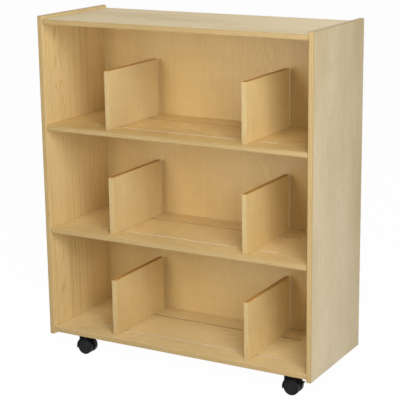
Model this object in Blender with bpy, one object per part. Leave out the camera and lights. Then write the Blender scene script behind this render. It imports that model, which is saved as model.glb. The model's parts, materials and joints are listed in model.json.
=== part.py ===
"""Mobile birch book cart: a plywood case with three shelves, six sliding dividers and four twin-wheel casters.

Metres, +Z up. The cart stands on z = 0 with its open front facing -Y, and the case is centred on x = 0 and y = 0.
"""

import math

import bmesh
import bpy
from mathutils import Matrix

# Case boards
CASE_WIDTH = 0.914
CASE_DEPTH = 0.354
PANEL = 0.0159
SHELF_PITCH = 0.326
TOP_REVEAL = 0.0095
SIDE_DROP = 0.0079
SHELF_SETBACK = 0.003
EDGE_ROUND = 0.003
NOSE_ROUND = 0.006
BACK_THICKNESS = 0.0064
BACK_RECESS = 0.015
GROOVE_DEPTH = 0.006
HOUSING_DEPTH = 0.005
HOUSING_STOP = 0.014
FIT_GAP = 0.0003
OVERCUT = 0.002

# Screws through the sides into the top panel and the bottom shelf
SCREW_FROM_FRONT = 0.066
SCREW_FROM_REAR = 0.084
SCREW_SHANK_RADIUS = 0.0025
SCREW_HEAD_RADIUS = 0.0046
SCREW_HEAD_HEIGHT = 0.003
SCREW_BITE = 0.034
PLUG_DEPTH = 0.004

# Slots in the shelves, dividers and the guide screws that hold them in the slots
SLOT_FROM_FRONT = 0.082
SLOT_FROM_BACK = 0.084
SLOT_END_INSET = 0.130
SLOT_CLEARANCE = 0.0004
DIVIDER_THICKNESS = 0.015
DIVIDER_HEIGHT = 0.179
DIVIDER_SETBACK = 0.028
DIVIDER_REAR_GAP = 0.020
DIVIDER_ROUND = 0.0025
GUIDE_RADIUS = 0.003
GUIDE_BITE = 0.022
WASHER_RADIUS = 0.010
WASHER_THICKNESS = 0.0015
GUIDE_HEAD_RADIUS = 0.0055
GUIDE_HEAD_HEIGHT = 0.004

# Where each divider stands, from the ends of the slots
UPPER_LEFT_STANDOFF = 0.0776
UPPER_RIGHT_STANDOFF = 0.083
LOWER_LEFT_STANDOFF = 0.082
LOWER_RIGHT_STANDOFF = 0.0832
BOTTOM_LEFT_STANDOFF = 0.0829
BOTTOM_RIGHT_STANDOFF = 0.0785

# Casters: the axle lies behind the swivel axis by the trail
CASTER_FROM_SIDE = 0.0952
CASTER_FROM_EDGE = 0.0372
WHEEL_RADIUS = 0.0245
WHEEL_WIDTH = 0.0155
WHEEL_ROUND = 0.002
WHEEL_CAP = 0.003
WHEEL_DISH = 0.0012
HUB_CAP_RADIUS = 0.0065
RIM_WIDTH = 0.004
AXLE_RADIUS = 0.0025
TRAIL = 0.023
WEB = 0.008
WHEEL_SIDE_GAP = 0.0006
HOOD_GAP = 0.002
HOOD_WALL = 0.0025
HOOD_HUB_RADIUS = 0.0075
HOOD_CORNER = 0.0018
HOOD_LEAD_ANGLE = 196.0
HOOD_TRAIL_ANGLE = 56.0
BOSS_RADIUS = 0.0075
SWIVEL_RISE = 0.0069
PLATE_SIDE = 0.038
PLATE_THICKNESS = 0.0025
PLATE_CORNER = 0.004
PLATE_HOLE_SPACING = 0.028
PLATE_HOLE_RADIUS = 0.0022
KINGPIN_RADIUS = 0.0045
KINGPIN_LENGTH = 0.013

# Brake lever on a hinge bar moulded across the end of the hood
LEVER_WIDTH = 0.018
LEVER_ANGLE = 63.0
LEVER_BAR_RADIUS = 0.0012
LEVER_BARREL_RADIUS = 0.0025
LEVER_THICKNESS = 0.0026
LEVER_TREAD_GAP = 0.0035
LEVER_SHOE_ANGLE = 27.0
LEVER_TAB_REACH = 0.009

TURN_SEGMENTS = 24
PIN_SEGMENTS = 12
HOOD_STEPS = 17

# What follows from the sizes above
HALF_WIDTH = CASE_WIDTH / 2
HALF_INNER = HALF_WIDTH - PANEL
FRONT = -CASE_DEPTH / 2
REAR = CASE_DEPTH / 2
BACK_FACE = REAR - BACK_RECESS - BACK_THICKNESS
SHELF_FRONT = FRONT + SHELF_SETBACK
UNDERSIDES = {"bottom": 0.0, "lower": SHELF_PITCH, "upper": 2 * SHELF_PITCH, "top": 3 * SHELF_PITCH}
SIDE_TOP = UNDERSIDES["top"] + PANEL + TOP_REVEAL
SCREW_ROWS = {"front": FRONT + SCREW_FROM_FRONT, "rear": REAR - SCREW_FROM_REAR}
SLOT_ROWS = {"front": FRONT + SLOT_FROM_FRONT, "rear": BACK_FACE - SLOT_FROM_BACK}
SLOT_HALF_WIDTH = GUIDE_RADIUS + SLOT_CLEARANCE
SLOT_HALF_LENGTH = HALF_INNER - SLOT_END_INSET
DIVIDER_FRONT = FRONT + DIVIDER_SETBACK
DIVIDER_REAR = BACK_FACE - DIVIDER_REAR_GAP
STANDOFFS = {
    "upper": {"left": UPPER_LEFT_STANDOFF, "right": UPPER_RIGHT_STANDOFF},
    "lower": {"left": LOWER_LEFT_STANDOFF, "right": LOWER_RIGHT_STANDOFF},
    "bottom": {"left": BOTTOM_LEFT_STANDOFF, "right": BOTTOM_RIGHT_STANDOFF},
}
HOOD_INNER_RADIUS = WHEEL_RADIUS + HOOD_GAP
HOOD_OUTER_RADIUS = HOOD_INNER_RADIUS + HOOD_WALL
HOOD_HALF_WIDTH = WEB / 2 + WHEEL_WIDTH
BOSS_TOP = WHEEL_RADIUS + HOOD_OUTER_RADIUS + SWIVEL_RISE
PLATE_UNDERSIDE = BOSS_TOP + FIT_GAP
CASTER_HEIGHT = PLATE_UNDERSIDE + PLATE_THICKNESS + FIT_GAP
LEVER_PIVOT_RADIUS = HOOD_INNER_RADIUS + HOOD_WALL / 2
SIDES = {"left": -1, "right": 1}
ENDS = {"front": -1, "rear": 1}
BRAKED = (("front", "right"), ("rear", "left"))

# Linear colour, roughness and metallic value of each finish
FINISHES = {
    "birch_side": ((0.56, 0.46, 0.29), 0.45, 0.0),
    "birch_board": ((0.60, 0.46, 0.24), 0.42, 0.0),
    "birch_back": ((0.53, 0.37, 0.17), 0.45, 0.0),
    "zinc_steel": ((0.55, 0.55, 0.56), 0.35, 1.0),
    "black_nylon": ((0.012, 0.012, 0.013), 0.42, 0.0),
    "black_tread": ((0.016, 0.016, 0.017), 0.55, 0.0),
}


def clear_scene():
    for item in list(bpy.data.objects):
        bpy.data.objects.remove(item, do_unlink=True)


def mesh_of(shape):
    """The shape as a mesh with its faces pointing out."""
    bmesh.ops.recalc_face_normals(shape, faces=shape.faces)
    mesh = bpy.data.meshes.new("shape")
    shape.to_mesh(mesh)
    shape.free()
    return mesh


def loose_object(shape):
    item = bpy.data.objects.new("blank", mesh_of(shape))
    bpy.context.scene.collection.objects.link(item)
    return item


def carved(blank_shape, adds=(), cuts=()):
    """A mesh of the blank with the added shapes joined on and the cut shapes taken away."""
    blank = loose_object(blank_shape)
    tools = []
    steps = [(shape, "UNION") for shape in adds] + [(shape, "DIFFERENCE") for shape in cuts]
    for shape, operation in steps:
        tool = loose_object(shape)
        modifier = blank.modifiers.new(operation.lower(), "BOOLEAN")
        modifier.operation = operation
        modifier.object = tool
        tools.append(tool)
    depsgraph = bpy.context.evaluated_depsgraph_get()
    mesh = bpy.data.meshes.new_from_object(blank.evaluated_get(depsgraph))
    for item in [blank, *tools]:
        data = item.data
        bpy.data.objects.remove(item, do_unlink=True)
        bpy.data.meshes.remove(data)
    return mesh


def holder(name, location, parent=None):
    """An empty that pieces are placed by."""
    item = bpy.data.objects.new(name, None)
    bpy.context.scene.collection.objects.link(item)
    item.parent = parent
    item.location = location
    return item


def piece(name, mesh, kind, location, parent=None, turn_z=0.0):
    """One sub-part with its own copy of the mesh and its own material."""
    item = bpy.data.objects.new(name, mesh.copy())
    bpy.context.scene.collection.objects.link(item)
    item.parent = parent
    item.location = location
    item.rotation_euler = (0.0, 0.0, turn_z)
    colour, roughness, metallic = FINISHES[kind]
    material = bpy.data.materials.new(f"{name}_{kind}")
    material.use_nodes = True
    shader = material.node_tree.nodes["Principled BSDF"]
    shader.inputs["Base Color"].default_value = (*colour, 1.0)
    shader.inputs["Roughness"].default_value = roughness
    shader.inputs["Metallic"].default_value = metallic
    item.data.materials.clear()
    item.data.materials.append(material)
    item.data.shade_smooth()
    item.data.set_sharp_from_angle(angle=math.radians(35.0))
    return item


def box(low, high):
    shape = bmesh.new()
    size = [top - bottom for bottom, top in zip(low, high)]
    middle = [(top + bottom) / 2 for bottom, top in zip(low, high)]
    place = Matrix.Translation(middle) @ Matrix.Diagonal((*size, 1.0))
    bmesh.ops.create_cube(shape, size=1.0, matrix=place)
    return shape


def ease(shape, radius, segments, wanted):
    """Round the edges whose middles pass the test."""
    edges = [edge for edge in shape.edges if wanted((edge.verts[0].co + edge.verts[1].co) / 2)]
    bmesh.ops.bevel(
        shape, geom=edges, offset=radius, segments=segments, profile=0.5, affect="EDGES", material=-1
    )
    return shape


def extruded(outline, low, high):
    """A prism of the outline (x, y) from z = low to z = high."""
    shape = bmesh.new()
    rim = [shape.verts.new((x, y, low)) for x, y in outline]
    floor = shape.faces.new(rim)
    raised = bmesh.ops.extrude_face_region(shape, geom=[floor], use_keep_orig=True)
    lifted = [item for item in raised["geom"] if isinstance(item, bmesh.types.BMVert)]
    bmesh.ops.translate(shape, verts=lifted, vec=(0.0, 0.0, high - low))
    return shape


def upright(shape):
    """Turn an outline drawn in x and y into the x and z plane, with its thickness along y."""
    bmesh.ops.rotate(shape, verts=shape.verts, cent=(0, 0, 0), matrix=Matrix.Rotation(math.pi / 2, 3, "X"))
    return shape


def turned(profile, segments):
    """A solid turned about Z from (radius, height) points that start and end on the axis."""
    shape = bmesh.new()
    phase = math.pi / segments
    chain = [shape.verts.new((r * math.cos(phase), r * math.sin(phase), z)) for r, z in profile]
    edges = [shape.edges.new(pair) for pair in zip(chain, chain[1:])]
    around = {"cent": (0, 0, 0), "axis": (0, 0, 1), "angle": 2 * math.pi, "steps": segments}
    bmesh.ops.spin(shape, geom=chain + edges, use_merge=True, **around)
    bmesh.ops.remove_doubles(shape, verts=shape.verts, dist=1e-6)
    return shape


def rod(radius, low, high, segments):
    return turned([(0.0, high), (radius, high), (radius, low), (0.0, low)], segments)


def moved(shape, place, turn=Matrix.Identity(4)):
    bmesh.ops.transform(shape, verts=shape.verts, matrix=Matrix.Translation(place) @ turn)
    return shape


def along_x(shape, direction, place):
    """Lay a shape turned about Z along x, with its top facing the given way."""
    return moved(shape, place, Matrix.Rotation(direction * math.pi / 2, 4, "Y"))


def along_y(shape, place):
    return moved(shape, place, Matrix.Rotation(-math.pi / 2, 4, "X"))


def arc(radius, start, stop, steps, centre=(0.0, 0.0)):
    """Points on an arc, by angles in degrees."""
    angles = [math.radians(start + (stop - start) * step / steps) for step in range(steps + 1)]
    return [(centre[0] + radius * math.cos(a), centre[1] + radius * math.sin(a)) for a in angles]


def side_panel(direction):
    """A full-height side in its own frame: outer face at x = 0, bottom shelf's underside at z = 0."""
    inner = -direction * PANEL
    low = (min(0.0, inner), FRONT, -SIDE_DROP)
    high = (max(0.0, inner), REAR, SIDE_TOP)
    blank = ease(box(low, high), EDGE_ROUND, 2, lambda middle: True)

    def slot_from_inside(depth, y_low, y_high, z_low, z_high):
        mouth, floor = sorted((inner - direction * OVERCUT, inner + direction * depth))
        return box((mouth, y_low, z_low), (floor, y_high, z_high))

    back_low = BACK_FACE - FIT_GAP
    back_high = BACK_FACE + BACK_THICKNESS + FIT_GAP
    groove_top = UNDERSIDES["top"] + GROOVE_DEPTH
    cuts = [slot_from_inside(GROOVE_DEPTH, back_low, back_high, PANEL - GROOVE_DEPTH, groove_top)]
    for level in ("lower", "upper"):
        under = UNDERSIDES[level]
        stop = SHELF_FRONT + HOUSING_STOP - FIT_GAP
        cuts.append(slot_from_inside(HOUSING_DEPTH, stop, BACK_FACE, under - FIT_GAP, under + PANEL + FIT_GAP))
    hole = SCREW_HEAD_RADIUS + FIT_GAP
    bore = SCREW_SHANK_RADIUS + FIT_GAP
    seat = -(PLUG_DEPTH + SCREW_HEAD_HEIGHT + FIT_GAP)
    through = -(PANEL + OVERCUT)
    stepped = [(0.0, OVERCUT), (hole, OVERCUT), (hole, seat), (bore, seat), (bore, through), (0.0, through)]
    for level in ("bottom", "top"):
        for y in SCREW_ROWS.values():
            place = (0.0, y, UNDERSIDES[level] + PANEL / 2)
            cuts.append(along_x(turned(stepped, PIN_SEGMENTS), direction, place))
    return carved(blank, cuts=cuts)


def end_bores():
    """Pilot bores for the side screws in the two ends of a board whose underside is z = 0."""
    bores = []
    for direction in SIDES.values():
        for y in SCREW_ROWS.values():
            bore = rod(SCREW_SHANK_RADIUS + FIT_GAP, -(SCREW_BITE + 2 * FIT_GAP), OVERCUT, PIN_SEGMENTS)
            bores.append(along_x(bore, direction, (direction * (HALF_INNER - FIT_GAP), y, PANEL / 2)))
    return bores


def back_groove(low, high):
    """A groove for the back panel's edge, from end to end of a board."""
    front = BACK_FACE - FIT_GAP
    rear = BACK_FACE + BACK_THICKNESS + FIT_GAP
    return box((-HALF_WIDTH, front, low), (HALF_WIDTH, rear, high))


def shelf_slots():
    """The two round-ended slots that the divider screws run in."""
    straight = SLOT_HALF_LENGTH - SLOT_HALF_WIDTH
    outline = arc(SLOT_HALF_WIDTH, -90.0, 90.0, 6, (straight, 0.0))
    outline += arc(SLOT_HALF_WIDTH, 90.0, 270.0, 6, (-straight, 0.0))
    slots = []
    for y in SLOT_ROWS.values():
        slot = extruded(outline, -OVERCUT, PANEL + OVERCUT)
        slots.append(moved(slot, (0.0, y, 0.0)))
    return slots


def on_nose(middle):
    """Whether an edge with this middle is one of a shelf's two long front edges."""
    return middle.y < SHELF_FRONT + OVERCUT and abs(middle.x) < OVERCUT


def plain_board():
    """The top panel's and bottom shelf's blank: eased front edges, square ends between the sides."""
    half = HALF_INNER - FIT_GAP
    blank = box((-half, SHELF_FRONT, 0.0), (half, REAR, PANEL))
    return ease(blank, EDGE_ROUND, 3, on_nose)


def middle_shelf():
    """A shelf with a rounded nose and ends that go into the sides' housings behind the nose."""
    half = HALF_INNER - FIT_GAP
    tongue = HALF_INNER + HOUSING_DEPTH - FIT_GAP
    stop = SHELF_FRONT + HOUSING_STOP
    rear = BACK_FACE - FIT_GAP
    right = [(half, SHELF_FRONT), (half, stop), (tongue, stop), (tongue, rear)]
    left = [(-x, y) for x, y in reversed(right)]
    blank = ease(extruded(right + left, 0.0, PANEL), NOSE_ROUND, 5, on_nose)
    return carved(blank, cuts=shelf_slots())


def back_panel():
    half = HALF_INNER + GROOVE_DEPTH - FIT_GAP
    low = PANEL - GROOVE_DEPTH + FIT_GAP
    high = UNDERSIDES["top"] + GROOVE_DEPTH - FIT_GAP
    return mesh_of(box((-half, BACK_FACE, low), (half, BACK_FACE + BACK_THICKNESS, high)))


def side_screw():
    """A flat-headed screw turned about Z, its head's top at z = 0 and its point down."""
    tip = -(PANEL - PLUG_DEPTH + SCREW_BITE)
    taper = 2 * SCREW_SHANK_RADIUS
    head = SCREW_HEAD_RADIUS
    shank = SCREW_SHANK_RADIUS
    neck = -SCREW_HEAD_HEIGHT
    return turned(
        [(0.0, 0.0), (head, 0.0), (head, neck), (shank, neck), (shank, tip + taper), (0.0, tip)], PIN_SEGMENTS
    )


def build_case(case):
    for side, direction in SIDES.items():
        piece(f"{side}_side_panel", side_panel(direction), "birch_side", (direction * HALF_WIDTH, 0, 0), case)
    top_cut = back_groove(-OVERCUT, GROOVE_DEPTH)
    top_z = UNDERSIDES["top"]
    top_mesh = carved(plain_board(), cuts=[top_cut, *end_bores()])
    piece("top_panel", top_mesh, "birch_board", (0, 0, top_z), case)
    bottom_cut = back_groove(PANEL - GROOVE_DEPTH, PANEL + OVERCUT)
    bottom_mesh = carved(plain_board(), cuts=[bottom_cut, *end_bores(), *shelf_slots()])
    piece("bottom_shelf", bottom_mesh, "birch_board", (0, 0, 0), case)
    shelf = middle_shelf()
    for level in ("lower", "upper"):
        piece(f"{level}_shelf", shelf, "birch_board", (0, 0, UNDERSIDES[level]), case)
    piece("back_panel", back_panel(), "birch_back", (0, 0, 0), case)
    for side, direction in SIDES.items():
        screw = mesh_of(along_x(side_screw(), direction, (0, 0, 0)))
        x = direction * (HALF_WIDTH - PLUG_DEPTH)
        for level in ("bottom", "top"):
            z = UNDERSIDES[level] + PANEL / 2
            for row, y in SCREW_ROWS.items():
                piece(f"side_screw_{side}_{level}_{row}", screw, "zinc_steel", (x, y, z), case)


def divider_mesh():
    """A divider in its own frame: middle of the thickness at x = 0, underside at z = 0."""
    half = DIVIDER_THICKNESS / 2
    blank = box((-half, DIVIDER_FRONT, 0.0), (half, DIVIDER_REAR, DIVIDER_HEIGHT))
    rounded = ease(blank, DIVIDER_ROUND, 2, lambda middle: middle.z > OVERCUT)
    bores = []
    for y in SLOT_ROWS.values():
        bore = rod(GUIDE_RADIUS + FIT_GAP, -OVERCUT, GUIDE_BITE + FIT_GAP, PIN_SEGMENTS)
        bores.append(moved(bore, (0.0, y, 0.0)))
    return carved(rounded, cuts=bores)


def guide_screw():
    """A pan-headed screw with its washer, turned about Z, in the divider's frame."""
    washer_top = -(PANEL + 2 * FIT_GAP)
    washer_low = washer_top - WASHER_THICKNESS
    head_low = washer_low - GUIDE_HEAD_HEIGHT
    head = GUIDE_HEAD_RADIUS
    profile = [
        (0.0, GUIDE_BITE),
        (GUIDE_RADIUS, GUIDE_BITE),
        (GUIDE_RADIUS, washer_top),
        (WASHER_RADIUS, washer_top),
        (WASHER_RADIUS, washer_low),
        (head, washer_low),
        (head, washer_low - GUIDE_HEAD_HEIGHT / 2),
        (GUIDE_RADIUS, head_low),
        (0.0, head_low),
    ]
    return mesh_of(turned(profile, PIN_SEGMENTS))


def build_dividers(case):
    panel = divider_mesh()
    screw = guide_screw()
    for level, standoffs in STANDOFFS.items():
        top = UNDERSIDES[level] + PANEL + FIT_GAP
        for side, direction in SIDES.items():
            x = direction * (SLOT_HALF_LENGTH - standoffs[side])
            divider = piece(f"divider_{level}_{side}", panel, "birch_board", (x, 0, top), case)
            for row, y in SLOT_ROWS.items():
                piece(f"guide_screw_{level}_{side}_{row}", screw, "zinc_steel", (0, y, 0), divider)


def wheel_mesh():
    """A wheel turned about its axle, inner face at y = 0, outer face towards +y, on a flat of its tread."""
    radius = WHEEL_RADIUS / math.cos(math.pi / TURN_SEGMENTS)
    rim = radius - RIM_WIDTH
    dish = WHEEL_WIDTH - WHEEL_DISH
    bore = AXLE_RADIUS + FIT_GAP
    floor = WHEEL_WIDTH - WHEEL_CAP
    profile = [
        (0.0, WHEEL_WIDTH),
        (HUB_CAP_RADIUS, WHEEL_WIDTH),
        (HUB_CAP_RADIUS + WHEEL_DISH, dish),
        (rim - WHEEL_DISH, dish),
        (rim, WHEEL_WIDTH),
        (radius - WHEEL_ROUND, WHEEL_WIDTH),
        (radius, WHEEL_WIDTH - WHEEL_ROUND),
        (radius, WHEEL_ROUND),
        (radius - WHEEL_ROUND, 0.0),
        (bore, 0.0),
        (bore, floor),
        (0.0, floor),
    ]
    return mesh_of(along_y(turned(profile, TURN_SEGMENTS), (0, 0, 0)))


def axle_mesh():
    reach = WEB / 2 + WHEEL_SIDE_GAP + WHEEL_WIDTH - WHEEL_CAP - FIT_GAP
    return mesh_of(along_y(rod(AXLE_RADIUS, -reach, reach, PIN_SEGMENTS), (0, 0, 0)))


def hood_arch():
    """Web and fender in one: a T section swept round the axle, which lies on y at x = 0 and z = 0."""
    web = WEB / 2
    edge = HOOD_HALF_WIDTH
    inner = HOOD_INNER_RADIUS
    outer = HOOD_OUTER_RADIUS
    half = [
        (web, HOOD_HUB_RADIUS / 2),
        (web, inner),
        (edge, inner),
        (edge, outer - HOOD_CORNER),
        (edge - HOOD_CORNER, outer),
    ]
    section = half + [(-y, r) for y, r in reversed(half)]
    start = math.radians(HOOD_TRAIL_ANGLE)
    sweep = math.radians(HOOD_LEAD_ANGLE - HOOD_TRAIL_ANGLE)
    shape = bmesh.new()
    loop = [shape.verts.new((r * math.cos(start), y, r * math.sin(start))) for y, r in section]
    edges = [shape.edges.new(pair) for pair in zip(loop, loop[1:] + loop[:1])]
    bmesh.ops.spin(
        shape, geom=loop + edges, cent=(0, 0, 0), axis=(0, -1, 0), angle=sweep, steps=HOOD_STEPS
    )
    open_edges = [edge for edge in shape.edges if edge.is_boundary]
    bmesh.ops.holes_fill(shape, edges=open_edges, sides=0)
    return shape


def swivel_boss():
    """The post round the swivel axis, with the wheels' room cut out of its foot."""
    post = rod(BOSS_RADIUS, 0.0, BOSS_TOP - WHEEL_RADIUS, TURN_SEGMENTS)
    moved(post, (-TRAIL, 0.0, 0.0))
    wells = []
    for direction in ENDS.values():
        near = direction * (WEB / 2 - HOOD_WALL / 4)
        far = direction * (HOOD_HALF_WIDTH + OVERCUT)
        well = rod(HOOD_INNER_RADIUS + HOOD_WALL / 2, min(near, far), max(near, far), 2 * TURN_SEGMENTS)
        wells.append(along_y(well, (0, 0, 0)))
    loose = bmesh.new()
    loose.from_mesh(carved(post, cuts=wells))
    return loose


def lever_pivot():
    angle = math.radians(LEVER_ANGLE)
    return (LEVER_PIVOT_RADIUS * math.cos(angle), 0.0, LEVER_PIVOT_RADIUS * math.sin(angle))


def hood_mesh(braked):
    """The hood in its own frame: axle on y at x = 0 and z = 0, swivel axis at x = -TRAIL."""
    hub = along_y(rod(HOOD_HUB_RADIUS, -WEB / 2 + FIT_GAP, WEB / 2 - FIT_GAP, TURN_SEGMENTS), (0, 0, 0))
    axle_bore = along_y(rod(AXLE_RADIUS + FIT_GAP, -WEB, WEB, PIN_SEGMENTS), (0, 0, 0))
    top = BOSS_TOP - WHEEL_RADIUS
    king_bore = rod(KINGPIN_RADIUS + FIT_GAP, top - KINGPIN_LENGTH, top + OVERCUT, PIN_SEGMENTS)
    moved(king_bore, (-TRAIL, 0.0, 0.0))
    mesh = carved(hood_arch(), adds=[hub, swivel_boss()], cuts=[axle_bore, king_bore])
    if not braked:
        return mesh
    blank = bmesh.new()
    blank.from_mesh(mesh)
    room = LEVER_BARREL_RADIUS + 2 * FIT_GAP
    spread = math.degrees(room / LEVER_PIVOT_RADIUS)
    last = LEVER_ANGLE + spread
    first = HOOD_TRAIL_ANGLE - spread
    inside = LEVER_PIVOT_RADIUS - room
    outside = HOOD_OUTER_RADIUS + OVERCUT
    outline = arc(outside, first, last, 3) + arc(inside, last, first, 3)
    half = LEVER_WIDTH / 2 + FIT_GAP
    mouth = upright(extruded(outline, -half, half))
    notched = carved(blank, cuts=[mouth])
    blank = bmesh.new()
    blank.from_mesh(notched)
    reach = half + HOOD_WALL
    bar = along_y(rod(LEVER_BAR_RADIUS, -reach, reach, PIN_SEGMENTS), lever_pivot())
    return carved(blank, adds=[bar])


def lever_mesh():
    """The brake lever in its own frame, its hinge bar on y at x = 0 and z = 0."""
    pivot = lever_pivot()
    inner = WHEEL_RADIUS + LEVER_TREAD_GAP
    outer = inner + LEVER_THICKNESS
    tab_low = arc(inner, LEVER_SHOE_ANGLE, LEVER_SHOE_ANGLE, 1)[0]
    tip_x = tab_low[0] + LEVER_TAB_REACH
    tab_top = tab_low[1] + LEVER_THICKNESS
    turn = math.degrees(math.asin(tab_top / outer))
    outline = arc(outer, LEVER_ANGLE, turn, 5)
    outline += [(tip_x - LEVER_THICKNESS / 2, tab_top), (tip_x, tab_low[1] + LEVER_THICKNESS / 2)]
    outline += [(tip_x - LEVER_THICKNESS / 2, tab_low[1])]
    outline += arc(inner, LEVER_SHOE_ANGLE, LEVER_ANGLE, 5)
    half = LEVER_WIDTH / 2
    pedal = upright(extruded(outline, -half, half))
    moved(pedal, (-pivot[0], 0.0, -pivot[2]))
    barrel = along_y(rod(LEVER_BARREL_RADIUS, -half + FIT_GAP / 3, half - FIT_GAP / 3, TURN_SEGMENTS), (0, 0, 0))
    bore = along_y(rod(LEVER_BAR_RADIUS + FIT_GAP, -LEVER_WIDTH, LEVER_WIDTH, PIN_SEGMENTS), (0, 0, 0))
    return carved(pedal, adds=[barrel], cuts=[bore])


def plate_mesh():
    """The top plate and its kingpin: swivel axis on z, plate's underside at z = 0."""
    half = PLATE_SIDE / 2
    plate = box((-half, -half, 0.0), (half, half, PLATE_THICKNESS))
    middle_plane = PLATE_THICKNESS / 2
    ease(plate, PLATE_CORNER, 3, lambda middle: abs(middle.z - middle_plane) < middle_plane / 2)
    holes = []
    for x in ENDS.values():
        for y in ENDS.values():
            hole = rod(PLATE_HOLE_RADIUS, -OVERCUT, PLATE_THICKNESS + OVERCUT, PIN_SEGMENTS)
            place = (x * PLATE_HOLE_SPACING / 2, y * PLATE_HOLE_SPACING / 2, 0.0)
            holes.append(moved(hole, place))
    kingpin = rod(KINGPIN_RADIUS, -KINGPIN_LENGTH, middle_plane, PIN_SEGMENTS)
    return carved(plate, adds=[kingpin], cuts=holes)


def build_casters():
    plate = plate_mesh()
    hoods = {braked: hood_mesh(braked) for braked in (False, True)}
    axle = axle_mesh()
    wheel = wheel_mesh()
    lever = lever_mesh()
    pivot = lever_pivot()
    for end, toward in ENDS.items():
        for side, direction in SIDES.items():
            name = f"caster_{end}_{side}"
            place = (direction * (HALF_WIDTH - CASTER_FROM_SIDE), toward * (REAR - CASTER_FROM_EDGE), 0.0)
            swivel = holder(f"{name}_swivel", place)
            piece(f"{name}_plate", plate, "zinc_steel", (0, 0, PLATE_UNDERSIDE), swivel)
            braked = (end, side) in BRAKED
            axle_centre = (TRAIL, 0.0, WHEEL_RADIUS)
            piece(f"{name}_hood", hoods[braked], "black_nylon", axle_centre, swivel)
            piece(f"{name}_axle", axle, "zinc_steel", axle_centre, swivel)
            for row, outward in ENDS.items():
                inner_face = (TRAIL, outward * (WEB / 2 + WHEEL_SIDE_GAP), WHEEL_RADIUS)
                turn = 0.0 if outward > 0 else math.pi
                piece(f"{name}_wheel_{row}", wheel, "black_tread", inner_face, swivel, turn)
            if braked:
                hinge = (TRAIL + pivot[0], 0.0, WHEEL_RADIUS + pivot[2])
                piece(f"{name}_brake_lever", lever, "black_nylon", hinge, swivel)


def main():
    clear_scene()
    case = holder("case", (0.0, 0.0, CASTER_HEIGHT))
    build_case(case)
    build_dividers(case)
    build_casters()


main()
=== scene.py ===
"""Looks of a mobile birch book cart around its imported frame.

Makes the boards, dividers, screws and casters, their finishes and a plain studio.
"""

import json
import math

import bmesh
import bpy
from bpy.props import FloatProperty, FloatVectorProperty, IntProperty, PointerProperty
from mathutils import Euler, Matrix, Vector


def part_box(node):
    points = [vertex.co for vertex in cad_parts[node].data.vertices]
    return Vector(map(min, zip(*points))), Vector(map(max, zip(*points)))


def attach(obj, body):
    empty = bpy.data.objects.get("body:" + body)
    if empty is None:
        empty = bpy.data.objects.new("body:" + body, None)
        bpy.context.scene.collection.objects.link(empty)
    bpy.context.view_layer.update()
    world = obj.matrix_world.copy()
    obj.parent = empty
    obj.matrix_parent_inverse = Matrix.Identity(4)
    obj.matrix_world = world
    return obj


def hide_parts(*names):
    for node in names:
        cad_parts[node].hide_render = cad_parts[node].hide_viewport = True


bl_info = {
    "name": "Book cart",
    "version": (1, 0, 0),
    "blender": (4, 5, 0),
    "location": "3D View > Sidebar > Book cart",
    "description": "Dresses a packed book cart with finished boards, casters and a plain studio",
    "category": "Object",
}

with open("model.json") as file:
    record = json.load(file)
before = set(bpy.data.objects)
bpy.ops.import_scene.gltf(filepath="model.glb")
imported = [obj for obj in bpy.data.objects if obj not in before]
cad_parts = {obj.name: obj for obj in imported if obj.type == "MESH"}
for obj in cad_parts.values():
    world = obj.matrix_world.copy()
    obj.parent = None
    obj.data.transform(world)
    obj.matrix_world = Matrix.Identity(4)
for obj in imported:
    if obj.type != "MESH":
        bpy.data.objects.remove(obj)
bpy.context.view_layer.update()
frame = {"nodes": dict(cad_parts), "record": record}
BODY_OF = {
    node: body for body, members in frame["record"]["behaviour"]["bodies"].items() for node in members
}
SIDES = {"left": -1, "right": 1}
ENDS = {"front": -1, "rear": 1}
LEVELS = ("upper", "lower", "bottom")
HOUSED = ("upper", "lower")
SCREWED = ("bottom", "top")
CASTERS = [(end, side) for end in ENDS for side in SIDES]
PLATE_CORNERS = [(-1, -1), (1, -1), (1, 1), (-1, 1)]
CART_MIDDLE = Vector((0.0, 0.0, 0.55))

# How far a cutter reaches past the face it starts from
OVERCUT = 0.001
# A corner this close to a line or plane lies on it
ON_IT = 1e-5
# Share of a face's normal with which it looks along an axis, or up
LOOKS_ALONG = 0.93
LOOKS_UP = 0.2
# Edges that turn by more than this are shaded sharp
SHARP = math.radians(40.0)

# Facets round turned shapes, and steps along drawn arcs
RIB_FACETS, BORE_FACETS, PIN_FACETS, GUIDE_FACETS, POST_FACETS, WELL_FACETS = 12, 24, 32, 40, 48, 96
CHEEK_STEPS, NOTCHED_STEPS, WEB_STEPS, ROOF_STEPS = 6, 40, 40, 48
TIP_STEPS, PEDAL_STEPS, SLOT_STEPS = 8, 10, 12
QUARTER = math.pi / 2

# Guide screws and wood plugs
WASHER = 0.0015
GUIDE_HEAD = 0.0055
GUIDE_FLAT = 0.72  # of the head's radius
GUIDE_CROWN = 0.0006
GUIDE_DRIVE = 0.0014
PLUG_EASE = 0.00025
# A driver's cross, as shares of the head's radius
DRIVE_LENGTH, DRIVE_WIDTH = 0.62, 0.16

# Caster plates and their screws, whose profile is radius and height over the plate's underside
PLATE_THICKNESS = 0.0025
PLATE_CORNER = 0.004
PLATE_EASE = 0.0003
PLATE_HOLE = 0.0022
PLATE_SCREW_REACH = 0.014
PLATE_SCREW = [
    (0.0, 0.0028), (0.0021, 0.0028), (0.0021, 0.0), (0.0040, 0.0),
    (0.0038, -0.0010), (0.0026, -0.0019), (0.0, -0.0021),
]
PLATE_SCREW_DRIVE = (0.0040, 0.0012, -0.0022)  # head radius, depth and crown
SCREW_TURN, SCREW_TURN_STEP = 17.0, 31.0  # degrees

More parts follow.
